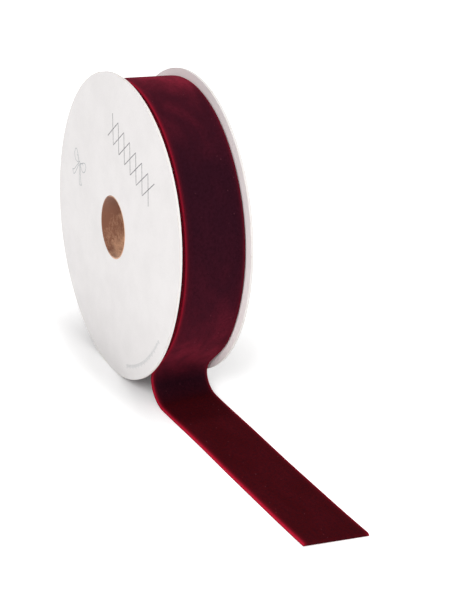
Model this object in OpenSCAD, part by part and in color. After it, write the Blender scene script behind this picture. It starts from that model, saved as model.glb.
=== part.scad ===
// Ribbon spool: two laminated card flanges on a spiral-wound paper tube, filled with a velvet
// ribbon that leaves the roll low on the +X side and lies along the table to its free end.
// Millimetres. The spool's axis is Y, the origin is the middle of its bore, +Z is up, and the
// front flange is on the -Y side. The flanges stand on the plane z = -flange_d / 2.

/* [Flanges] */
// Diameter of the two flange discs
flange_d = 125; // [112:1:140]
// Thickness of a flange's board, without its papers
board_t = 0.8; // [0.6:0.1:1.5]
// Thickness of each paper that faces a board
paper_t = 0.1; // [0.05:0.05:0.2]
// Width of the spool over both flanges
spool_w = 32; // [30:1:45]

/* [Core] */
// Diameter of the hole through the spool
bore_d = 25; // [20:1:38]
// Thickness of one ply of the tube
ply_t = 0.5; // [0.3:0.1:0.9]
// Thickness of the glue between the tube's ends and the flanges
glue_t = 0.15; // [0.1:0.05:0.3]
// Distance by which the glue stays back from the tube's inner ply
glue_setback = 0.2; // [0.1:0.1:0.4]

/* [Ribbon] */
// Width of the ribbon
ribbon_w = 25; // [15:1:25]
// Thickness of the velvet, pile included
ribbon_t = 1.35; // [0.8:0.05:1.6]
// Distance from the roll's surface in to the flanges' rims
rim_gap = 3.4; // [3:0.2:15]
// How far the ribbon is wound off centre, towards the back flange
wound_shift = 2.1; // [0:0.1:8]

/* [Free end] */
// Angle below the axis at which the ribbon leaves the roll, in degrees
leave_deg = 40; // [25:1:45]
// Radius of the bend's pile side, where the ribbon turns out along the table
bend_r = 8; // [4:0.5:9]
// Length of the free end that lies flat
free_len = 107.5; // [60:0.5:200]
// Sideways turn of the free end on the table, in degrees
free_turn = 3.7; // [0:0.1:5]
// Slant of the cut end from square, in degrees
cut_deg = 8.5; // [0:0.5:45]

/* [Hidden] */

$fn = 180;
clear = 0.3;                 // radial room between the turning roll and the laps that stay
eps = 1;                     // overshoot of a cut past the faces it opens
front = -1;
back = 1;

// Flanges
flange_r = flange_d / 2;
bore_r = bore_d / 2;
flange_t = board_t + 2 * paper_t;
inner_w = spool_w - 2 * flange_t;

// Core: the inner ply runs through both flanges, and the other two butt against them
hole_r = bore_r + ply_t;
core_r = bore_r + 3 * ply_t;
tube_w = inner_w - 2 * glue_t;
tape_t = 0.1;
tape_w = 18;
tape_deg = 60;

// Ribbon on the spool
side_play = (inner_w - ribbon_w) / 2;
ribbon_y = min(wound_shift, side_play - 0.4);
roll_r = flange_r - rim_gap;
still_laps = 2;              // outermost laps that belong to the part of the ribbon that stays
lap_in_r = roll_r - (still_laps + 1) * ribbon_t;
wound_r = lap_in_r - clear;
wound_in_r = core_r + tape_t;

// Ribbon from the roll to the table, in the (x, z) plane: it leaves along the tangent, runs
// straight for drop_len, and turns through an arc about bend_c until it lies flat
leave_out = [cos(leave_deg), -sin(leave_deg)];
leave_dir = [-sin(leave_deg), -cos(leave_deg)];
leave_pt = roll_r * leave_out;
table_z = -flange_r;
drop_len = (leave_pt[1] + bend_r * leave_out[1] - bend_r - ribbon_t - table_z) / -leave_dir[1];
bend_c = leave_pt + drop_len * leave_dir + bend_r * leave_out;
seam_gap = 0.6;              // room between the bend and the free end that slides away
lap_step = 5;

function polar(r, a) = [r * cos(a), r * sin(a)];
function lap_face(a) = polar(roll_r - ribbon_t * a / 360, a - leave_deg);
function bend_face(r) =
    [for (i = [0:20]) bend_c + polar(r, 180 - leave_deg + i * (90 + leave_deg) / 20)];
function reversed(list) = [for (i = [len(list) - 1:-1:0]) list[i]];

// A ring about the spool's axis, from y0 to y1
module ring(outer_r, inner_r, y0, y1) {
    translate([0, y1, 0]) rotate([90, 0, 0]) difference() {
        cylinder(r = outer_r, h = y1 - y0);
        translate([0, 0, -eps]) cylinder(r = inner_r, h = y1 - y0 + 2 * eps);
    }
}

// One layer of a flange: depth is its distance in from the spool's outer face
module flange_layer(side, depth, t) {
    outer_y = spool_w / 2 - depth;
    y0 = side == back ? outer_y - t : -outer_y;
    ring(flange_r, hole_r, y0, y0 + t);
}

// White paper on the outside of a flange
module cover_paper(side) {
    color([0.93, 0.92, 0.90]) flange_layer(side, 0, paper_t);
}

// Board that stiffens a flange
module board(side) {
    color([0.89, 0.87, 0.82]) flange_layer(side, paper_t, board_t);
}

// White paper on the inside of a flange, next to the ribbon
module liner_paper(side) {
    color([0.90, 0.87, 0.86]) flange_layer(side, paper_t + board_t, paper_t);
}

// One ply of the tube, counted from the bore outwards
module core_ply(number, width, tint) {
    inner_r = bore_r + (number - 1) * ply_t;
    color(tint) ring(inner_r + ply_t, inner_r, -width / 2, width / 2);
}

// Film of glue between the tube's end and the flange
module glue_ring(side) {
    y0 = side == back ? tube_w / 2 : -inner_w / 2;
    color([0.86, 0.80, 0.62]) ring(core_r, hole_r + glue_setback, y0, y0 + glue_t);
}

// Strip of tape that holds the ribbon's inner end on the tube
module start_tape() {
    color([0.85, 0.83, 0.76]) translate([0, ribbon_y, 0]) rotate([90, 0, 0])
        rotate_extrude(angle = tape_deg) translate([core_r, -tape_w / 2])
            square([tape_t, tape_w]);
}

// Turns of ribbon that go round with the spool
module wound_ribbon() {
    color([0.27, 0.05, 0.09])
        ring(wound_r, wound_in_r, ribbon_y - ribbon_w / 2, ribbon_y + ribbon_w / 2);
}

// Outermost laps, the drop from the roll, and the bend down to the table. The outer face is a
// spiral that closes in by one thickness a turn, so its inner end meets the back of the drop;
// the inner face clears the turning roll.
module ribbon_lead() {
    spiral = [for (a = [360:-lap_step:0]) lap_face(a)];
    outline = concat(spiral, bend_face(bend_r), reversed(bend_face(bend_r + ribbon_t)));
    color([0.30, 0.05, 0.09]) translate([0, ribbon_y + ribbon_w / 2, 0]) rotate([90, 0, 0])
        difference() {
            linear_extrude(height = ribbon_w) polygon(outline);
            translate([0, 0, -eps]) cylinder(r = lap_in_r, h = ribbon_w + 2 * eps);
        }
}

// Free end, flat on the table, with its slanted cut
module ribbon_free_end() {
    half_w = ribbon_w / 2;
    slant = half_w * tan(cut_deg);
    color([0.30, 0.03, 0.06]) translate([bend_c[0], ribbon_y, table_z]) rotate([0, 0, free_turn])
        linear_extrude(height = ribbon_t)
            polygon([[seam_gap + half_w * tan(free_turn), -half_w], [free_len - slant, -half_w],
                     [free_len + slant, half_w], [seam_gap + half_w * tan(free_turn), half_w]]);
}

cover_paper(front);  // front_cover_paper
board(front);  // front_board
liner_paper(front);  // front_liner_paper
liner_paper(back);  // back_liner_paper
board(back);  // back_board
cover_paper(back);  // back_cover_paper
core_ply(1, spool_w, [0.66, 0.46, 0.31]);  // core_inner_ply
core_ply(2, tube_w, [0.60, 0.53, 0.46]);  // core_middle_ply
core_ply(3, tube_w, [0.68, 0.49, 0.34]);  // core_outer_ply
glue_ring(front);  // front_glue_ring
glue_ring(back);  // back_glue_ring
start_tape();
wound_ribbon();
ribbon_lead();
ribbon_free_end();
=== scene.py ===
import math

import bpy
import numpy as np
from mathutils import Matrix, Vector


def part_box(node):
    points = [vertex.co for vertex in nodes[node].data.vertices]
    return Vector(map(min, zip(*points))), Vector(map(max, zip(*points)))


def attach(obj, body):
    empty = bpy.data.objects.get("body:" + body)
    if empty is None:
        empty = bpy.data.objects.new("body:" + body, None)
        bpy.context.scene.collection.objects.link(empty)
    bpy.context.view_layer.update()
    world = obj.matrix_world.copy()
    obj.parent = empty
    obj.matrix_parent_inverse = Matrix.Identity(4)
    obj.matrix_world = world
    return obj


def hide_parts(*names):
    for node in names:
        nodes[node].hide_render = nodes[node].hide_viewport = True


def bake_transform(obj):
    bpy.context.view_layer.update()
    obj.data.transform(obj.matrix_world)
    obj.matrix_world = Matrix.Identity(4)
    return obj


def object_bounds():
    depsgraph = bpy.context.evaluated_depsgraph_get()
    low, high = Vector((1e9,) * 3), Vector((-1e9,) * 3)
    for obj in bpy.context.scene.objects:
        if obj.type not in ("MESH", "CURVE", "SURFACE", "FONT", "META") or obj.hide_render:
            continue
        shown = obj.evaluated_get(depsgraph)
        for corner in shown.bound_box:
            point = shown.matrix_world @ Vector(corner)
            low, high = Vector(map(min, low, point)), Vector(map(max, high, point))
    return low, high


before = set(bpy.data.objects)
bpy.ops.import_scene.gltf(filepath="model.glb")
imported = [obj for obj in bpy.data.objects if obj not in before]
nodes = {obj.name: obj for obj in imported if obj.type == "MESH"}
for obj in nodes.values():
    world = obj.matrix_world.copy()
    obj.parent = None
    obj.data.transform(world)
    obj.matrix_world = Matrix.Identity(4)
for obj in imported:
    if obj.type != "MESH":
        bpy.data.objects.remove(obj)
cad_low, cad_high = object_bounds()
mm = 0.001

# --- Camera ---------------------------------------------------------------------------------
# A long lens looks down on the front flange from the side where the ribbon runs out. It is
# turned a little about its own line of sight.
camera_place = Vector((0.4783, -0.2116, 0.1971))
camera_heading = math.radians(-62.14)
camera_dip = math.radians(23.65)
camera_turn = math.radians(4.30)

sight = Vector((math.sin(camera_heading) * math.cos(camera_dip),
                math.cos(camera_heading) * math.cos(camera_dip),
                -math.sin(camera_dip)))
level = sight.cross(Vector((0, 0, 1))).normalized()
upright = level.cross(sight)
camera_right = level * math.cos(camera_turn) + upright * math.sin(camera_turn)
camera_up = upright * math.cos(camera_turn) - level * math.sin(camera_turn)

camera = bpy.data.objects.new("camera", bpy.data.cameras.new("camera"))
camera.data.lens = 81.37
camera.data.sensor_width = 36
camera.matrix_world = (Matrix.Translation(camera_place)
                       @ Matrix((camera_right, camera_up, -sight)).transposed().to_4x4())
bpy.context.scene.collection.objects.link(camera)
bpy.context.scene.camera = camera

# --- Table ----------------------------------------------------------------------------------
# A plain white sheet under the spool. It glows faintly, and close to the spool hardly at all, so
# that the contact shadow shows. It isn't part of the object.
table_z = cad_low.z
table_half = 8.0
table_glow = 0.6
shadow_glow = 0.133
shadow_from, shadow_to = 66 * mm, 98 * mm


def principled(name, **settings):
    """A material with one Principled shader. Each keyword is a socket's name with underscores
    for spaces, and its plain value."""
    material = bpy.data.materials.new(name)
    material.use_nodes = True
    shader = material.node_tree.nodes["Principled BSDF"]
    for key, value in settings.items():
        shader.inputs[key.replace("_", " ")].default_value = value
    return material, material.node_tree, shader


def add(tree, kind, inputs=None, **options):
    """A shader node with its options set; an input is a socket to join or a plain value."""
    node = tree.nodes.new("ShaderNode" + kind)
    for key, value in options.items():
        setattr(node, key, value)
    for key, value in (inputs or {}).items():
        if isinstance(value, bpy.types.NodeSocket):
            tree.links.new(value, node.inputs[key])
        else:
            node.inputs[key].default_value = value
    return node


table_mesh = bpy.data.meshes.new("table")
table_mesh.from_pydata([(x, y, table_z) for x, y in ((-table_half, -table_half),
                                                     (table_half, -table_half),
                                                     (table_half, table_half),
                                                     (-table_half, table_half))],
                       [], [(0, 1, 2, 3)])
table = bpy.data.objects.new("table", table_mesh)
bpy.context.scene.collection.objects.link(table)
table_paint, table_tree, table_shader = principled(
    "table white", Base_Color=(0.90, 0.90, 0.90, 1), Roughness=0.9, Specular_IOR_Level=0.1,
    Emission_Strength=table_glow)
table_place = add(table_tree, "TexCoord").outputs["Object"]
from_spool = add(table_tree, "VectorMath", {0: table_place}, operation="LENGTH").outputs["Value"]
glow_share = add(table_tree, "MapRange", {"Value": from_spool, "From Min": shadow_from,
                                          "From Max": shadow_to, "To Min": shadow_glow}).outputs[0]
table_tree.links.new(glow_share, table_shader.inputs["Emission Color"])
table_mesh.materials.append(table_paint)

# --- Tube -----------------------------------------------------------------------------------
# A parallel tube wound from strips of paper: natural kraft inside and outside, a grey recycled
# ply between them. The inner strip's butt joint shows as a thin dark helix in the bore.
kraft_dark = (0.25, 0.108, 0.064, 1)
kraft_light = (0.66, 0.385, 0.24, 1)
kraft_seam_pitch = 46 * mm
seam_width = 0.3 * mm
dark_band_off_seam = 0.12       # of a winding, from the seam to the middle of the band of painted shade
# How much the band darkens the tone at its middle, and lightens it (below nought) half a winding
# on: painted shade and painted light
band_darkest, band_lightest = 0.8, -0.35


def calc(tree, operation, *values):
    """The output of a Math node on one to three values or sockets."""
    return add(tree, "Math", dict(enumerate(values)), operation=operation).outputs[0]


def mix(tree, share, first, second):
    """A colour between first and second, by share."""
    return add(tree, "Mix", {0: share, 6: first, 7: second}, data_type="RGBA").outputs[2]


def fade(tree, value, low, high, to_low=0.0, to_high=1.0):
    """value taken from the span low..high to the span to_low..to_high, smoothly and clamped."""
    return add(tree, "MapRange", {"Value": value, "From Min": low, "From Max": high,
                                  "To Min": to_low, "To Max": to_high},
               interpolation_type="SMOOTHSTEP").outputs[0]


def noise(tree, place, scale, detail=3.0, roughness=0.55, distortion=0.0):
    """Noise of about one lump per 1/scale metres, from 0 to 1."""
    return add(tree, "TexNoise", {"Vector": place, "Scale": scale, "Detail": detail,
                                  "Roughness": roughness, "Distortion": distortion}).outputs[0]


def new_group(name, inputs, outputs):
    """A shader node group with named sockets: inputs maps a name to its kind and value, and
    outputs a name to its kind. Returns the group, its input node and its output node."""
    group = bpy.data.node_groups.new(name, "ShaderNodeTree")
    for key, (kind, value) in inputs.items():
        socket = group.interface.new_socket(key, in_out="INPUT",
                                            socket_type="NodeSocket" + kind)
        if value is not None:
            socket.default_value = value
    for key, kind in outputs.items():
        group.interface.new_socket(key, in_out="OUTPUT", socket_type="NodeSocket" + kind)
    return group, group.nodes.new("NodeGroupInput"), group.nodes.new("NodeGroupOutput")


def use_group(tree, group, **inputs):
    """The outputs of a node group placed in a material with its own values."""
    node = add(tree, "Group", node_tree=group)
    for key, value in inputs.items():
        socket = node.inputs[key.replace("_", " ")]
        if isinstance(value, bpy.types.NodeSocket):
            tree.links.new(value, socket)
        else:
            socket.default_value = value
    return node.outputs


# Felted fibres of paper and board: a cloudy tone, sparse dark specks, and a fine relief
paper_fibres, fibres_given, fibres_made = new_group(
    "paper fibres",
    {"Place": ("Vector", None), "Fibre Scale": ("Float", 900.0), "Speck Scale": ("Float", 500.0)},
    {"Tone": "Float", "Specks": "Float", "Relief": "Float"})
fibres_place = fibres_given.outputs["Place"]
cloud = noise(paper_fibres, fibres_place, 90.0, detail=4.0)
fibre = noise(paper_fibres, fibres_place, fibres_given.outputs["Fibre Scale"], detail=5.0,
              roughness=0.65, distortion=1.2)
speck = noise(paper_fibres, fibres_place, fibres_given.outputs["Speck Scale"], detail=1.0)
fine_tone = calc(paper_fibres, "MULTIPLY", fibre, 0.45)
tone = calc(paper_fibres, "MULTIPLY_ADD", cloud, 0.55, fine_tone)
paper_fibres.links.new(fade(paper_fibres, tone, 0.35, 0.65), fibres_made.inputs["Tone"])
paper_fibres.links.new(fade(paper_fibres, speck, 0.69, 0.76), fibres_made.inputs["Specks"])
paper_fibres.links.new(fibre, fibres_made.inputs["Relief"])


def raise_relief(tree, shader, height, depth):
    """Feeds a height into the shader's normal, depth being the relief's size in metres."""
    bump = add(tree, "Bump", {"Height": height, "Distance": depth, "Strength": 1.0})
    tree.links.new(bump.outputs[0], shader.inputs["Normal"])


def give(node, material):
    """The material takes the place of the CAD node's own."""
    nodes[node].data.materials.clear()
    nodes[node].data.materials.append(material)


def tube_paper(name, dark, light, seam_pitch, seam_shade):
    """Paper wound into a tube: fibres drawn out along the winding, with a seam where the angle
    about the axis, in turns, plus the distance along it over the pitch is a whole number. Along
    the helix runs a band of painted shade, darkest just past the seam, that turns to painted light
    half a winding on."""
    material, tree, shader = principled(name, Roughness=0.92, Specular_IOR_Level=0.2,
                                        Sheen_Weight=0.15, Sheen_Roughness=0.6)
    place = add(tree, "TexCoord").outputs["Object"]
    axes = add(tree, "SeparateXYZ", {0: place}).outputs
    turns = calc(tree, "DIVIDE", calc(tree, "ARCTAN2", axes[2], axes[0]), 2 * math.pi)
    helix = calc(tree, "MULTIPLY_ADD", axes[1], 1 / seam_pitch, turns)
    off_seam = calc(tree, "PINGPONG", helix, 0.5)
    seam = fade(tree, off_seam, 0.2 * seam_width / seam_pitch, seam_width / seam_pitch, 1.0, 0.0)
    drawn = add(tree, "Mapping", {"Vector": place, "Rotation": (0.35, 0.0, 0.2),
                                  "Scale": (1.0, 2.6, 1.0)}).outputs[0]
    fibres = use_group(tree, paper_fibres, Place=drawn, Fibre_Scale=700.0, Speck_Scale=900.0)
    patches = noise(tree, place, 420.0, detail=5.0, roughness=0.75)
    tone = calc(tree, "MULTIPLY_ADD", patches, 0.6, calc(tree, "MULTIPLY", fibres["Tone"], 0.4))
    # Painted shade and painted light: a band along the helix, darkest near the seam, lightest half
    # a winding away
    off_dark_band = calc(tree, "PINGPONG", calc(tree, "SUBTRACT", helix, dark_band_off_seam), 0.5)
    painted_band_shade = fade(tree, off_dark_band, 0.05, 0.45, band_darkest, band_lightest)
    shown = calc(tree, "SUBTRACT", fade(tree, tone, 0.15, 0.85), painted_band_shade)
    colour = mix(tree, add(tree, "Clamp", {0: shown}).outputs[0], dark, light)
    specked = mix(tree, calc(tree, "MULTIPLY", fibres["Specks"], 0.5), colour,
                  tuple(0.45 * c for c in dark[:3]) + (1,))
    seamed = mix(tree, calc(tree, "MULTIPLY", seam, seam_shade), specked,
                 tuple(0.25 * c for c in dark[:3]) + (1,))
    tree.links.new(seamed, shader.inputs["Base Color"])
    height = calc(tree, "SUBTRACT", fibres["Relief"], calc(tree, "MULTIPLY", seam, 3.0))
    raise_relief(tree, shader, height, 0.06 * mm)
    return material


give("core_inner_ply", tube_paper("kraft inside", kraft_dark, kraft_light, kraft_seam_pitch, 0.85))
give("core_middle_ply", tube_paper("grey ply", (0.25, 0.21, 0.17, 1), (0.42, 0.37, 0.31, 1),
                                   41 * mm, 0.7))
give("core_outer_ply", tube_paper("kraft outside", (0.30, 0.15, 0.08, 1), (0.52, 0.31, 0.18, 1),
                                  38 * mm, 0.8))

# --- Flanges --------------------------------------------------------------------------------
# Two discs die-cut from board with white paper on both faces, pushed over the tube's inner ply.
# The cut shows the board's beige pulp. The front disc has warped: its rim stands out of true.
flange_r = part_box("front_board")[1].x
hole_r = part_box("core_inner_ply")[1].x
front_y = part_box("front_cover_paper")[0].y
warp_mean, warp_side, warp_top = 0.37 * mm, 0.98 * mm, 0.23 * mm
warp_twist, warp_ripple = 0.28 * mm, 0.26 * mm
warp_curve = 1.3             # the warp grows as this power of the way out from the hole
ring_steps, face_steps = 256, 13
cover_white = (0.65, 0.628, 0.624, 1)
# The liner paper is tinted pink and set lighter than the cover paper: painted red light bounced
# from the ribbon, and painted light on the back flange's inner face.
liner_white_painted_bounce = (0.86, 0.80, 0.80, 1)
bruise_tint = (0.66, 0.60, 0.51, 1)

# Wear of a die-cut disc about the Y axis: 1 at the rim and at the hole, gone a little way in
cut_wear, wear_given, wear_made = new_group(
    "cut disc wear",
    {"Place": ("Vector", None), "Rim Radius": ("Float", flange_r),
     "Hole Radius": ("Float", hole_r), "Reach": ("Float", 0.5 * mm)},
    {"Wear": "Float"})
from_centre = add(cut_wear, "VectorMath", {0: wear_given.outputs["Place"], 1: (1, 0, 1)},
                  operation="MULTIPLY").outputs[0]
from_axis = add(cut_wear, "VectorMath", {0: from_centre}, operation="LENGTH").outputs["Value"]
patchy = fade(cut_wear, noise(cut_wear, wear_given.outputs["Place"], 220.0, detail=4.0), 0.42, 0.62)
from_rim = calc(cut_wear, "SUBTRACT", wear_given.outputs["Rim Radius"], from_axis)
from_hole = calc(cut_wear, "SUBTRACT", from_axis, wear_given.outputs["Hole Radius"])
nearest = calc(cut_wear, "MINIMUM", from_rim, from_hole)
way_in = calc(cut_wear, "DIVIDE", nearest, wear_given.outputs["Reach"])
worn = add(cut_wear, "Clamp", {0: calc(cut_wear, "SUBTRACT", 1.0, way_in)}).outputs[0]
cut_wear.links.new(calc(cut_wear, "MULTIPLY", worn, patchy), wear_made.inputs["Wear"])


def face_paper(name, colour, roughness):
    """Smooth white paper glued to board: nearly even, faintly cloudy, worn at the cut."""
    material, tree, shader = principled(name, Roughness=roughness, Specular_IOR_Level=0.35)
    place = add(tree, "TexCoord").outputs["Object"]
    fibres = use_group(tree, paper_fibres, Place=place, Fibre_Scale=1400.0, Speck_Scale=260.0)
    wear = use_group(tree, cut_wear, Place=place)["Wear"]
    shaded = tuple(0.955 * c for c in colour[:3]) + (1,)
    clouded = mix(tree, fibres["Tone"], shaded, colour)
    specked = mix(tree, calc(tree, "MULTIPLY", fibres["Specks"], 0.05), clouded, bruise_tint)
    tree.links.new(mix(tree, calc(tree, "MULTIPLY", wear, 0.55), specked, bruise_tint),
                   shader.inputs["Base Color"])
    tree.links.new(fade(tree, fibres["Tone"], 0.0, 1.0, roughness + 0.06, roughness - 0.04),
                   shader.inputs["Roughness"])
    raise_relief(tree, shader, fibres["Relief"], 0.012 * mm)
    return material


def cut_board():
    """The board's cut edge: thin layers of pulp that run round the rim, so the tone changes
    quickly along the axis and slowly round it."""
    material, tree, shader = principled("board", Roughness=0.9, Specular_IOR_Level=0.2)
    place = add(tree, "TexCoord").outputs["Object"]
    layers = add(tree, "Mapping", {"Vector": place, "Scale": (1.0, 24.0, 1.0)}).outputs[0]
    streaks = noise(tree, layers, 420.0, detail=4.0, roughness=0.7)
    fibres = use_group(tree, paper_fibres, Place=place, Fibre_Scale=1800.0, Speck_Scale=800.0)
    colour = mix(tree, fade(tree, streaks, 0.30, 0.70), (0.73, 0.70, 0.68, 1),
                 (0.79, 0.765, 0.745, 1))
    tree.links.new(mix(tree, calc(tree, "MULTIPLY", fibres["Specks"], 0.4), colour,
                       (0.42, 0.35, 0.27, 1)), shader.inputs["Base Color"])
    raise_relief(tree, shader, streaks, 0.05 * mm)
    return material


cover_paper = face_paper("cover paper", cover_white, 0.52)
liner_paper = face_paper("liner paper", liner_white_painted_bounce, 0.72)
board = cut_board()
for side in ("front", "back"):
    give(side + "_cover_paper", cover_paper)
    give(side + "_liner_paper", liner_paper)
    give(side + "_board", board)


def warp(x, z):
    """How far the front disc stands out of true along y: nothing at the hole, and at the rim, at
    the angle a, mean + side cos(a) + top sin(a) + twist sin(2a) + ripple sin(3a)."""
    radius = np.maximum(np.hypot(x, z), hole_r)
    angle = np.arctan2(z, x)
    rim = (warp_mean + warp_side * np.cos(angle) + warp_top * np.sin(angle)
           + warp_twist * np.sin(2 * angle) + warp_ripple * np.sin(3 * angle))
    return rim * ((radius - hole_r) / (flange_r - hole_r)) ** warp_curve


def warped_layer(name, node, material):
    """A ring with the node's radii and thickness: the closed outline (radius, y), out along one
    face and back along the other, turned about the axis and moved by the warp."""
    y0, y1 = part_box(node)[0].y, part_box(node)[1].y
    out = np.linspace(hole_r, flange_r, face_steps)
    outline = np.concatenate([np.stack([out, np.full(face_steps, y0)], 1),
                              np.stack([out[::-1], np.full(face_steps, y1)], 1)])
    loop = len(outline)
    around = np.linspace(0, 2 * np.pi, ring_steps, endpoint=False)[:, None]
    x, z = outline[:, 0] * np.cos(around), outline[:, 0] * np.sin(around)
    points = np.stack([x, outline[:, 1] + warp(x, z), z], 2).reshape(-1, 3)
    row, column = np.meshgrid(np.arange(ring_steps), np.arange(loop), indexing="ij")
    next_row, next_column = (row + 1) % ring_steps, (column + 1) % loop
    quads = np.stack([loop * row + column, loop * row + next_column,
                      loop * next_row + next_column, loop * next_row + column], 2)
    mesh = bpy.data.meshes.new(name)
    mesh.from_pydata(points.tolist(), [], quads.reshape(-1, 4).tolist())
    mesh.polygons.foreach_set("use_smooth", np.ones(quads[..., 0].size, bool))
    mesh.set_sharp_from_angle(angle=math.radians(40))
    mesh.materials.append(material)
    piece = bpy.data.objects.new(name, mesh)
    bpy.context.scene.collection.objects.link(piece)
    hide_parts(node)
    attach(piece, "spool")


warped_layer("front_cover_paper_warped", "front_cover_paper", cover_paper)
warped_layer("front_board_warped", "front_board", board)
warped_layer("front_liner_paper_warped", "front_liner_paper", liner_paper)

# --- Print on the front flange --------------------------------------------------------------
# Thin grey lines printed on the cover paper: a lattice of two crossing ribbons, a small bow, and
# a scale of ticks round the rim. The ink stands a hair above the paper.
ink_height = 0.02 * mm
lattice_start, lattice_end = np.array((-6.8, 41.3)) * mm, np.array((34.6, 25.6)) * mm
lattice_rise, lattice_count, lattice_line = 5.5 * mm, 7, 0.40 * mm
lattice_ink = (0.08, 0.078, 0.085, 1)
bow_centre, bow_size, bow_tilt = np.array((-39.2, 14.6)) * mm, 7.2 * mm, math.radians(-20)
bow_line = 0.30 * mm
bow_ink = (0.24, 0.26, 0.275, 1)
tick_radius, tick_from, tick_to = 56.3 * mm, math.radians(-70), math.radians(-30.5)
tick_count, tick_group = 49, 4
tick_short, tick_long, tick_line = 1.2 * mm, 1.8 * mm, 0.30 * mm
tick_ink = (0.36, 0.37, 0.38, 1)


def ink_line(points, width):
    """A flat closed bar along points (x, z) on the front flange: each point is moved half the
    width to either side, square to the line, on the paper and again one ink height above it."""
    step = np.gradient(points, axis=0)
    square = np.stack([-step[:, 1], step[:, 0]], 1)
    square *= 0.5 * width / np.maximum(np.linalg.norm(square, axis=1, keepdims=True), 1e-9)
    left, right = points + square, points - square
    ring = np.stack([left, right, right, left], 1)
    depth = front_y - ink_height * np.array((0, 0, 1, 1)) + warp(ring[..., 0], ring[..., 1])
    corners = np.stack([ring[..., 0], depth, ring[..., 1]], 2)
    count = len(points)
    start = 4 * np.arange(count - 1)[:, None]
    side = np.arange(4)[None, :]
    after = (side + 1) % 4
    quads = np.stack([start + side, start + 4 + side, start + 4 + after, start + after], 2)
    ends = np.array([[0, 1, 2, 3], [4 * count - 1, 4 * count - 2, 4 * count - 3, 4 * count - 4]])
    return corners.reshape(-1, 3), np.concatenate([quads.reshape(-1, 4), ends])


def turned(points, angle, centre):
    """points (x, z) turned by angle about the origin, then moved to centre."""
    turn = np.array(((math.cos(angle), -math.sin(angle)), (math.sin(angle), math.cos(angle))))
    return points @ turn.T + centre


def print_lines(name, lines, colour):
    """One mesh of all the lines of one ink, riding on the turning spool."""
    corners, quads, used = [], [], 0
    for points, width in lines:
        line_corners, line_quads = ink_line(points, width)
        corners.append(line_corners)
        quads.append(line_quads + used)
        used += len(line_corners)
    mesh = bpy.data.meshes.new(name)
    mesh.from_pydata(np.concatenate(corners).tolist(), [], np.concatenate(quads).tolist())
    material, tree, shader = principled(name, Roughness=0.45, Specular_IOR_Level=0.4)
    place = add(tree, "TexCoord").outputs["Object"]
    thin = fade(tree, noise(tree, place, 1500.0, detail=2.0), 0.35, 0.7)
    faded = tuple(0.7 * c + 0.20 for c in colour[:3]) + (1,)
    tree.links.new(mix(tree, thin, colour, faded), shader.inputs["Base Color"])
    mesh.materials.append(material)
    piece = bpy.data.objects.new(name, mesh)
    bpy.context.scene.collection.objects.link(piece)
    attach(piece, "spool")


def finely(points):
    """A broken line through points (x, z), with 12 steps to each of its straight parts."""
    share = np.arange(0, len(points) - 1 + 1e-6, 1 / 12)
    return np.stack([np.interp(share, np.arange(len(points)), points[:, k]) for k in (0, 1)], 1)


# Lattice: a zigzag between two lines along its length, and the same one mirrored
along = (lattice_end - lattice_start) / np.linalg.norm(lattice_end - lattice_start)
over = np.array((-along[1], along[0]))
corner_number = np.arange(lattice_count + 1)[:, None]
middle = lattice_start + (lattice_end - lattice_start) * corner_number / lattice_count
swing = over * lattice_rise * np.where(corner_number % 2, -1, 1)
print_lines("front_print_lattice", [(finely(middle + swing), lattice_line),
                                    (finely(middle - swing), lattice_line)], lattice_ink)

# Bow: a small round knot, and on each hand a teardrop loop, out along a cosine and back, with a
# fold in it, and a tail between two waved sides with a slanted cut
round_once = np.linspace(0, 2 * np.pi, 60)
down = np.linspace(0, 1, 24)
bow = [0.11 * np.stack([np.cos(round_once), np.sin(round_once)], 1)]
for hand in (-1, 1):
    loop = np.stack([hand * (0.1 + 0.42 * (1 - np.cos(round_once))),
                     0.44 * np.sin(round_once) * (0.5 - 0.5 * np.cos(round_once)) ** 0.6
                     + 0.13 * (1 - np.cos(round_once))], 1)
    fold = np.stack([hand * (0.1 + 0.45 * down), 0.03 + 0.24 * np.sin(2.2 * down)], 1)
    tail_inner = np.stack([hand * (0.05 + 0.5 * down ** 1.4),
                           -0.1 - 1.05 * down + 0.1 * np.sin(6 * down)], 1)
    tail_outer = np.stack([hand * (0.09 + 0.72 * down ** 1.3),
                           -0.06 - 0.92 * down + 0.1 * np.sin(6 * down)], 1)
    tail_cut = tail_inner[-1] + (tail_outer[-1] - tail_inner[-1]) * down[:, None]
    bow += [loop, fold, tail_inner, tail_outer, tail_cut]
print_lines("front_print_bow", [(turned(points * bow_size, bow_tilt, bow_centre), bow_line)
                                for points in bow], bow_ink)

# Scale: ticks square to the rim, every fourth a longer one
ticks = []
for number, tick_angle in enumerate(np.linspace(tick_from, tick_to, tick_count)):
    tick_length = tick_short if number % tick_group else tick_long
    radii = np.linspace(tick_radius, tick_radius + tick_length, 4)
    ticks.append((radii[:, None] * (math.cos(tick_angle), math.sin(tick_angle)), tick_line))
print_lines("front_print_scale", ticks, tick_ink)

# --- Glue and tape --------------------------------------------------------------------------
# Hot-melt under both ends of the tube, and a strip of masking tape over the ribbon's inner end.
glue, glue_tree, glue_shader = principled("hot-melt glue", Roughness=0.3, Coat_Weight=0.2)
glue_place = add(glue_tree, "TexCoord").outputs["Object"]
glue_tree.links.new(mix(glue_tree, noise(glue_tree, glue_place, 700.0), (0.52, 0.37, 0.14, 1),
                        (0.78, 0.66, 0.38, 1)), glue_shader.inputs["Base Color"])
raise_relief(glue_tree, glue_shader, noise(glue_tree, glue_place, 500.0), 0.08 * mm)
give("front_glue_ring", glue)
give("back_glue_ring", glue)

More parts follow.
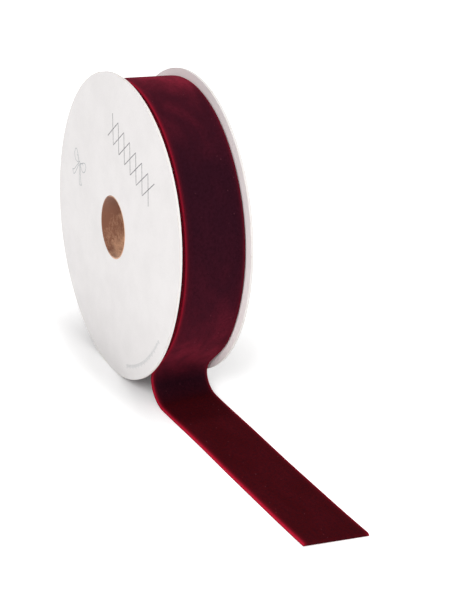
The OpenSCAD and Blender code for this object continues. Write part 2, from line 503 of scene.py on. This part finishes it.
tape, tape_tree, tape_shader = principled("masking tape", Roughness=0.7)
tape_place = add(tape_tree, "TexCoord").outputs["Object"]
crepe = add(tape_tree, "TexWave", {"Vector": tape_place, "Scale": 320.0, "Distortion": 3.0,
                                   "Detail": 2.0}, bands_direction="Y").outputs["Fac"]
tape_tree.links.new(mix(tape_tree, crepe, (0.62, 0.55, 0.38, 1), (0.78, 0.73, 0.58, 1)),
                    tape_shader.inputs["Base Color"])
raise_relief(tape_tree, tape_shader, crepe, 0.04 * mm)
give("start_tape", tape)

# --- Velvet ribbon: the turns that go round with the spool -----------------------------------
# A narrow woven ground with a cut pile on its outer face, wound on the tube face out under
# light pull. The turns wander a little sideways, so their edges don't quite line up.
turns_low, turns_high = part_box("wound_ribbon")
ribbon_w = turns_high.y - turns_low.y
ribbon_y = (turns_high.y + turns_low.y) / 2
ribbon_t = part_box("ribbon_free_end")[1].z - table_z
lap_gap = 0.1 * mm
pile_top = ribbon_t - lap_gap
side_depth = 0.42 * mm       # how far in from a selvedge light still comes through the pile
scallop = 2.6 * mm           # length of one scallop of the selvedge
slant_reach = 40 * mm        # length before the cut over which the cloth is skewed

# The first colour, for the roll, is darker and grey-blue: painted shade and painted reflection of
# the white room where the pile is seen face-on. The second is the plain red of the free end.
pile_shade_and_reflection = (0.022, 0.0042, 0.0098, 1)
pile_warm = (0.044, 0.0017, 0.0028, 1)
# The lit colour is painted sheen
pile_lit = (0.24, 0.016, 0.036, 1)
pile_side = (0.38, 0.009, 0.027, 1)
ground_red = (0.16, 0.008, 0.018, 1)

# Cut pile: patches where it was brushed another way, rows of tufts, and a few specks of lint
pile_look, pile_given, pile_made = new_group(
    "cut pile", {"Cloth": ("Vector", None)},
    {"Nap": "Float", "Tufts": "Float", "Lint": "Float"})
pile_cloth = pile_given.outputs["Cloth"]
pile_drawn = add(pile_look, "Mapping", {"Vector": pile_cloth,
                                        "Scale": (1.0, 1.7, 1.0)}).outputs[0]
brushed = noise(pile_look, pile_drawn, 48.0, detail=5.0, roughness=0.62, distortion=0.5)
tufts = noise(pile_look, pile_cloth, 800.0, detail=3.0, roughness=0.8)
lint = noise(pile_look, pile_cloth, 900.0, detail=0.0)
pile_look.links.new(fade(pile_look, brushed, 0.34, 0.72), pile_made.inputs["Nap"])
pile_look.links.new(tufts, pile_made.inputs["Tufts"])
pile_look.links.new(fade(pile_look, lint, 0.82, 0.85), pile_made.inputs["Lint"])


def velvet_pile(name):
    """Cut pile: darker and grey-blue on the roll, painted shade and painted reflection where the
    pile is seen face-on, plain red on the free end; painted sheen where the roll is seen at a
    grazing angle, broken up by patches of brushed nap; painted shade in the bend; almost black in
    the grain between tufts; bright at the pile's side, where light comes through the fibres."""
    material, tree, shader = principled(name, Roughness=0.95, Specular_IOR_Level=0.03,
                                        Sheen_Weight=0.35, Sheen_Roughness=0.25,
                                        Sheen_Tint=(0.62, 0.04, 0.085, 1))
    cloth = add(tree, "UVMap", uv_map="cloth").outputs[0]
    side = add(tree, "Attribute", attribute_name="pile_side").outputs["Fac"]
    warm = add(tree, "Attribute", attribute_name="pile_warm").outputs["Fac"]
    rub_sheen_shade = add(tree, "Attribute", attribute_name="pile_rub_sheen_shade").outputs["Fac"]
    pile = use_group(tree, pile_look, Cloth=cloth)
    tuft = fade(tree, pile["Tufts"], 0.32, 0.68)
    # Painted shade and painted reflection on the roll, plain red on the free end
    upright = mix(tree, calc(tree, "POWER", warm, 5.0), pile_shade_and_reflection, pile_warm)
    share = calc(tree, "MULTIPLY_ADD", pile["Nap"], 0.6, calc(tree, "MULTIPLY", tuft, 0.45))
    # Painted sheen: the lit colour mixed in by the path's look, broken up by the nap's patches
    lit_share = calc(tree, "MULTIPLY", calc(tree, "ADD", share, 0.15), rub_sheen_shade)
    body = mix(tree, lit_share, upright, pile_lit)
    # Painted shade where the pile's look is below nought, in the bend, added to the dark grain
    # between tufts
    bend_shade = calc(tree, "MULTIPLY", rub_sheen_shade, -1.0)
    shaded = calc(tree, "ADD", fade(tree, bend_shade, 0.0, 1.0),
                  calc(tree, "MULTIPLY_ADD", tuft, 0.66, -0.12))
    grain_and_shade = mix(tree, shaded, body, (0.010, 0.0018, 0.0045, 1))
    linted = mix(tree, calc(tree, "MULTIPLY", pile["Lint"], 0.10), grain_and_shade, (0.55, 0.16, 0.20, 1))
    edge = calc(tree, "MULTIPLY", side, fade(tree, pile["Tufts"], 0.1, 0.6, 0.6, 1.0))
    tree.links.new(mix(tree, edge, linted, pile_side), shader.inputs["Base Color"])
    height = calc(tree, "MULTIPLY_ADD", pile["Nap"], 0.8, pile["Tufts"])
    raise_relief(tree, shader, height, 0.12 * mm)
    return material


def woven_ground(name):
    """The ground cloth at the back and the selvedges: a plain weave of fine red threads."""
    material, tree, shader = principled(name, Roughness=0.8, Specular_IOR_Level=0.25,
                                        Sheen_Weight=0.3, Sheen_Roughness=0.4,
                                        Sheen_Tint=(0.8, 0.2, 0.25, 1))
    cloth = add(tree, "UVMap", uv_map="cloth").outputs[0]
    axes = add(tree, "SeparateXYZ", {0: cloth}).outputs
    lengthwise = calc(tree, "SINE", calc(tree, "MULTIPLY", axes[1], 2 * math.pi / (0.5 * mm)))
    crosswise = calc(tree, "SINE", calc(tree, "MULTIPLY", axes[0], 2 * math.pi / (0.6 * mm)))
    weave = calc(tree, "MULTIPLY", lengthwise, crosswise)
    shade = noise(tree, cloth, 300.0, detail=4.0)
    colour = mix(tree, fade(tree, weave, -1.0, 1.0), tuple(0.5 * c for c in ground_red[:3]) + (1,),
                 ground_red)
    tree.links.new(mix(tree, calc(tree, "MULTIPLY", shade, 0.4), colour, pile_shade_and_reflection),
                   shader.inputs["Base Color"])
    raise_relief(tree, shader, weave, 0.06 * mm)
    return material


pile_material = velvet_pile("velvet pile")
ground_material = woven_ground("velvet ground")


def ribbon_section(inset, rise):
    """The ribbon's outline as two rows over the same places: across and height of the face row,
    then of the back row. inset and rise give the face from a selvedge to the middle, and the
    other half is their mirror image."""
    half = ribbon_w / 2
    inset, rise = np.array(inset) * mm, np.array(rise) * mm
    face_across = np.concatenate([inset - half, (half - inset)[::-1][1:]])
    face_height = np.concatenate([rise, rise[::-1][1:]])
    back_across = np.clip(np.sort(face_across), -half + 0.05 * mm, half - 0.05 * mm)
    return face_across, face_height, back_across, np.zeros_like(back_across)


def side_glow(across, height, laid):
    """How much the pile's side shows: whole on the pile at a selvedge, and fading inwards with
    side_depth. On the roll only the pile's top catches light, and the far edge, turned away from
    the light, shows less of it than the near one."""
    top = np.clip((height - 0.6 * mm) / (0.4 * mm), 0, 1)
    on_pile = np.clip(height / (0.12 * mm), 0, 1)
    lit = laid + (1 - laid) * (0.35 + 0.40 * top)
    from_edge = np.maximum(ribbon_w / 2 - np.abs(across) - 0.3 * mm, 0)
    faced = np.where(across < 0, 1.0, 0.45 + 0.5 * laid)
    return on_pile * lit * faced * np.exp(-from_edge / side_depth)


def weave_strip(name, place, side, face, along, section, lift=0.0, selvedge=0.0, slant=0.0,
                fray=0.0, warm=0.0, rub_sheen_shade=0.0):
    """The section carried along a path: each point is the path's place, plus the across distance
    along side, plus the height along face. lift (near edge, far edge) is added to the height in
    proportion to the across distance. selvedge draws the outermost points in, in scallops. slant
    skews the last slant_reach along the path in proportion to the across distance. fray is the
    length over which the pile rounds off at the end, as a quarter of an ellipse. The last two set
    the pile's look at each place on the path: warm (0 to 1) takes it from a darker grey-blue red,
    painted shade and painted reflection, to plain red; the last (-1 to 1) paints shade below
    nought, and above it sheen, broken up by patches of brushed nap."""
    face_across, face_height, back_across, back_height = section
    columns, rows, loop = len(face_across), len(along), 2 * len(face_across)
    across = np.tile(np.concatenate([face_across, back_across[::-1]]), (rows, 1))
    height = np.tile(np.concatenate([face_height, back_height[::-1]]), (rows, 1))
    if fray:
        past = np.clip((along - along[-1]) / fray + 1, 0, 1)
        height *= (0.2 + 0.8 * np.sqrt(1 - past ** 2))[:, None]
    laid = np.reshape(warm, (-1, 1))
    glow = side_glow(across, height, laid)
    outer = np.zeros(loop)
    outer[[0, -1]], outer[[columns - 1, columns]] = 1.0, -1.0
    ragged = np.abs(np.sin(np.pi * along / scallop + 1.3 * np.sin(along / (17 * mm))))
    across += selvedge * (1 - ragged)[:, None] * outer
    near_lift, far_lift = np.broadcast_to(np.transpose(lift), (2, rows))
    height += (near_lift[:, None] * (0.5 - across / ribbon_w)
               + far_lift[:, None] * (0.5 + across / ribbon_w))
    forward = np.cross(side, np.cross(np.gradient(place, axis=0), side))
    forward /= np.linalg.norm(forward, axis=1, keepdims=True)
    sheared = slant * np.clip((along - along[-1]) / slant_reach + 1, 0, 1) ** 2
    points = (place[:, None] + across[..., None] * side[:, None]
              + height[..., None] * face[:, None]
              + (sheared[:, None] * across)[..., None] * forward[:, None])
    start = loop * np.arange(rows - 1)[:, None]
    here = np.arange(loop)[None, :]
    after = (here + 1) % loop
    walls = np.stack([start + here, start + loop + here, start + loop + after, start + after], 2)
    left = np.arange(columns - 1)
    mirror = loop - 1 - left
    cap = np.stack([left, left + 1, mirror - 1, mirror], 1)
    faces = np.concatenate([walls.reshape(-1, 4), cap,
                            (cap + loop * (rows - 1))[:, ::-1]])
    mesh = bpy.data.meshes.new(name)
    mesh.from_pydata(points.reshape(-1, 3).tolist(), [], faces.tolist())
    cloth = np.stack([np.broadcast_to(along[:, None], across.shape), across], 2).reshape(-1, 2)
    corner = np.empty(len(mesh.loops), np.int32)
    mesh.loops.foreach_get("vertex_index", corner)
    mesh.uv_layers.new(name="cloth").data.foreach_set("uv", cloth[corner].ravel())
    for key, value in (("pile_side", glow), ("pile_warm", laid),
                       ("pile_rub_sheen_shade", np.reshape(rub_sheen_shade, (-1, 1)))):
        spread = np.broadcast_to(value, across.shape).astype(np.float32)
        mesh.attributes.new(key, "FLOAT", "POINT").data.foreach_set("value", spread.ravel())
    mesh.materials.append(pile_material)
    mesh.materials.append(ground_material)
    is_pile = (here[0] < columns - 1) | (here[0] == loop - 1)
    index = np.concatenate([np.tile(~is_pile, rows - 1), np.zeros(2 * len(cap), bool)])
    mesh.polygons.foreach_set("material_index", index.astype(np.int32))
    mesh.polygons.foreach_set("use_smooth", np.ones(len(faces), bool))
    mesh.update()
    piece = bpy.data.objects.new(name, mesh)
    bpy.context.scene.collection.objects.link(piece)
    return piece


# The turning part is one spiral: its radius grows by one thickness a turn, from the tape out. Its
# sideways wander is the sum of two slow sines.
tape_room = 0.15 * mm
steps_a_turn = 96
wander_reach = 0.13 * mm
inner_r = -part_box("core_outer_ply")[0].x + tape_room
outer_r = turns_high.x - ribbon_t
turn_count = (outer_r - inner_r) / ribbon_t
wound_angle = np.linspace(0, 2 * np.pi * turn_count, int(turn_count * steps_a_turn))
wound_r = inner_r + ribbon_t * wound_angle / (2 * np.pi)
wound_steps = np.hypot(np.diff(wound_r), wound_r[1:] * np.diff(wound_angle))
wound_run = np.concatenate([[0], np.cumsum(wound_steps)])
wander = wander_reach * (np.sin(0.37 * wound_angle + 1.0) + 0.7 * np.sin(1.13 * wound_angle + 0.4))
wound_face = np.stack([np.cos(wound_angle), np.zeros_like(wound_angle), np.sin(wound_angle)], 1)
wound_side = np.broadcast_to(np.array((0.0, 1.0, 0.0)), wound_face.shape)
wound_place = wound_r[:, None] * wound_face + (ribbon_y + wander)[:, None] * wound_side
wound_section = ribbon_section((0, 0.2, 0.14, 0.42, 1.4, ribbon_w / 2 / mm),
                               (0.22, 0.30, 0.75, 1.12, 1.24, pile_top / mm))
ribbon_turns = weave_strip("ribbon_turns", wound_place, wound_side, wound_face, wound_run,
                           wound_section, rub_sheen_shade=0.12)
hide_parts("wound_ribbon")
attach(ribbon_turns, "spool")

# --- Velvet ribbon: outermost laps, drop and free end -----------------------------------------
# The same ribbon goes on round the outside, drops from the roll, turns outwards on a soft bend
# with its pile up, and lies along the table to a cut that is a little off square.
still_room = 0.3 * mm
roll_r = turns_high.x + still_room + 3 * ribbon_t
leave_angle = math.radians(40)
bend_r = 8 * mm
free_turn = math.radians(3.7)
cut_slant = math.tan(math.radians(8.5))
free_len = 107.5 * mm
step = 0.3 * mm
lap_turns = 1.93
loose_height = 1.1 * mm      # how far the top lap stands off the roll, and where, in turns back
loose_from, loose_span = 0.18, 0.50
ease_reach, ease_width = 15, 5.0             # in steps
eased_on_table = 60                          # in steps
bend_drift = 0.95 * mm
table_lift, end_lift, near_end_lift = 0.3 * mm, 0.3 * mm, 0.35 * mm
far_drop_lift, far_bend_lift = 0.8 * mm, 1.1 * mm

# Side view of the ribbon's back, (x, z): a spiral that comes in by one thickness a turn and
# stands off a little over the top of the roll, the tangent at the leaving angle, an arc about
# bend_centre, and the straight table
leave_out = np.array((math.cos(leave_angle), -math.sin(leave_angle)))
leave_way = np.array((-math.sin(leave_angle), -math.cos(leave_angle)))
drop_len = ((roll_r * leave_out[1] + bend_r * leave_out[1] - bend_r - ribbon_t - table_z)
            / -leave_way[1])
bend_centre = (roll_r + bend_r) * leave_out + drop_len * leave_way
back_turns = np.arange(lap_turns, 0, -step / (2 * np.pi * roll_r))
lap_angle = 2 * np.pi * back_turns - leave_angle
loose_share = np.clip((back_turns % 1 - loose_from) / loose_span, 0, 1)
loose = loose_height * np.sin(np.pi * loose_share) ** 2 * np.where(back_turns < 1, 1.0, 0.4)
lap_r = roll_r - ribbon_t * (1 + back_turns) + loose
laps = lap_r[:, None] * np.stack([np.cos(lap_angle), np.sin(lap_angle)], 1)
drop = ((roll_r - ribbon_t) * leave_out
        + np.arange(0, drop_len, step)[:, None] * leave_way)
bend_back_r = bend_r + ribbon_t
bend_angle = np.arange(math.pi - leave_angle, 1.5 * math.pi, step / bend_back_r)
bend = bend_centre + bend_back_r * np.stack([np.cos(bend_angle), np.sin(bend_angle)], 1)
flat_run = np.arange(0, free_len + 0.5 * step, step)
flat = np.stack([bend_centre[0] + flat_run, np.full_like(flat_run, table_z)], 1)
stiff_view = np.concatenate([laps, drop, bend, flat])
table_row = len(laps) + len(drop) + len(bend)

# The bend eases in and out: places from the drop on are averaged over a few millimetres
window = 2 * ease_reach + 1
kernel = np.exp(-0.5 * (np.arange(-ease_reach, ease_reach + 1) / ease_width) ** 2)
padded_view = np.pad(stiff_view, ((ease_reach, ease_reach), (0, 0)), mode="edge")
eased_view = np.stack([np.convolve(padded_view[:, k], kernel / kernel.sum(), "valid")
                       for k in (0, 1)], 1)
is_eased = np.zeros(len(stiff_view))
is_eased[len(laps):table_row + eased_on_table] = 1
eased_share = np.convolve(is_eased, np.ones(window) / window, "same")[:, None]
side_view = stiff_view * (1 - eased_share) + eased_view * eased_share

# Heading: nought on the roll, turned on the table, changing smoothly down the drop and bend,
# where the cloth also drifts a little towards the front
reached = np.concatenate([[0], np.cumsum(np.linalg.norm(np.diff(side_view, axis=0), axis=1))])
drop_at, table_at = reached[len(laps)], reached[table_row]
share = np.clip((reached - drop_at) / (table_at - drop_at), 0, 1)
heading = free_turn * share * share * (3 - 2 * share)
past_bend = np.maximum(side_view[:, 0] - bend_centre[0], 0) * (reached > table_at)
sideways = past_bend * math.sin(free_turn) - bend_drift * np.sin(np.pi * share) ** 2
free_place = np.stack([side_view[:, 0] + past_bend * (math.cos(free_turn) - 1),
                       ribbon_y + sideways, side_view[:, 1]], 1)
free_side = np.stack([-np.sin(heading), np.cos(heading), np.zeros_like(heading)], 1)
free_face = np.cross(np.gradient(free_place, axis=0), free_side)
free_face /= np.linalg.norm(free_face, axis=1, keepdims=True)

# The cloth doesn't lie quite flat: its far edge stands off where it leaves the roll and again
# behind the bend, where the heading turns, and it lifts a little on the table and at its end
on_table = np.clip((reached - table_at) / (reached[-1] - table_at), 0, 1)
free_place[:, 2] += table_lift * np.sin(np.pi * np.clip(on_table / 0.55, 0, 1)) ** 2
free_place[:, 2] += end_lift * np.clip((on_table - 0.8) / 0.2, 0, 1) ** 2
past_table = np.maximum(reached - table_at, 0)
far_stands = (far_bend_lift * share ** 2 * np.exp(-past_table / (24 * mm))
              + far_drop_lift * np.exp(-0.5 * ((reached - drop_at + 3 * mm) / (11 * mm)) ** 2))
near_stands = near_end_lift * on_table ** 2

# The look of the pile: painted sheen near the top of the roll and low down before the bend,
# where the roll is seen at a grazing angle, broken up by patches of brushed nap; painted shade
# in the bend, where the roll shades the ribbon and the pile opens on the curve; almost upright
# elsewhere
height_angle = np.degrees(np.arctan2(side_view[:, 1], side_view[:, 0]))
# Painted sheen by height on the roll: strongest at its top and where the ribbon leaves it
rub_and_sheen_on_roll = np.interp(height_angle, (-100, -60, -40, -28, -12, 10, 40, 62, 78, 90, 115, 150),
                        (0.15, 0.40, 0.78, 0.50, 0.18, 0.06, 0.06, 0.26, 0.40, 1.0, 1.2, 0.15))
# Painted sheen down the drop, turning to painted shade late in the bend
sheen_and_shade_in_bend = np.interp(share, (0, 0.36, 0.62, 0.8, 1), (0.95, 0.85, 0.0, -0.15, 0.07))
rub_on_table = np.interp(on_table, (0, 0.12), (0.07, 0.1))
rub_sheen_shade_along = np.select([reached < drop_at, reached <= table_at], [rub_and_sheen_on_roll, sheen_and_shade_in_bend], rub_on_table)
smoothed_rub_sheen_shade = np.convolve(np.pad(rub_sheen_shade_along, 12, mode="edge"), np.ones(25) / 25, "valid")

free_section = ribbon_section(
    (0, 0.12, 0.05, 0.06, 0.20, 0.5, 0.95, 1.8, 3.5, 7.0, ribbon_w / 2 / mm),
    (0.12, 0.30, 0.52, 0.82, 1.05, 1.17, 1.22, 1.24, pile_top / mm, pile_top / mm, pile_top / mm))
ribbon_end = weave_strip("ribbon_free_end_cloth", free_place, free_side, free_face, reached,
                         free_section, lift=np.stack([near_stands, far_stands], 1),
                         selvedge=0.22 * mm, slant=cut_slant, fray=1.2 * mm, warm=share,
                         rub_sheen_shade=smoothed_rub_sheen_shade)
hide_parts("ribbon_lead", "ribbon_free_end")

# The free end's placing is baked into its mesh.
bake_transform(ribbon_end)

# --- Light ------------------------------------------------------------------------------------
# A white room, a soft lamp high above and a little behind, and a large one that stands higher
# than the camera, to its left.
room_strength = 0.46
world = bpy.data.worlds.new("white room")
world.use_nodes = True
world.node_tree.nodes["Background"].inputs["Color"].default_value = (1, 1, 1, 1)
world.node_tree.nodes["Background"].inputs["Strength"].default_value = room_strength
bpy.context.scene.world = world
bpy.context.scene.view_settings.view_transform = "Standard"


def soft_lamp(name, place, target, size, power):
    """A square area lamp of the given size, facing target."""
    lamp = bpy.data.objects.new(name, bpy.data.lights.new(name, "AREA"))
    lamp.data.size, lamp.data.energy = size, power
    lamp.location = place
    lamp.rotation_euler = (Vector(target) - Vector(place)).to_track_quat("-Z", "Y").to_euler()
    bpy.context.scene.collection.objects.link(lamp)


soft_lamp("overhead lamp", (0.05, 0.09, 1.1), (0, 0, 0), 0.10, 3.3)
soft_lamp("front lamp", (0.72, -0.75, 0.78), (0, 0, 0), 0.6, 9.4)
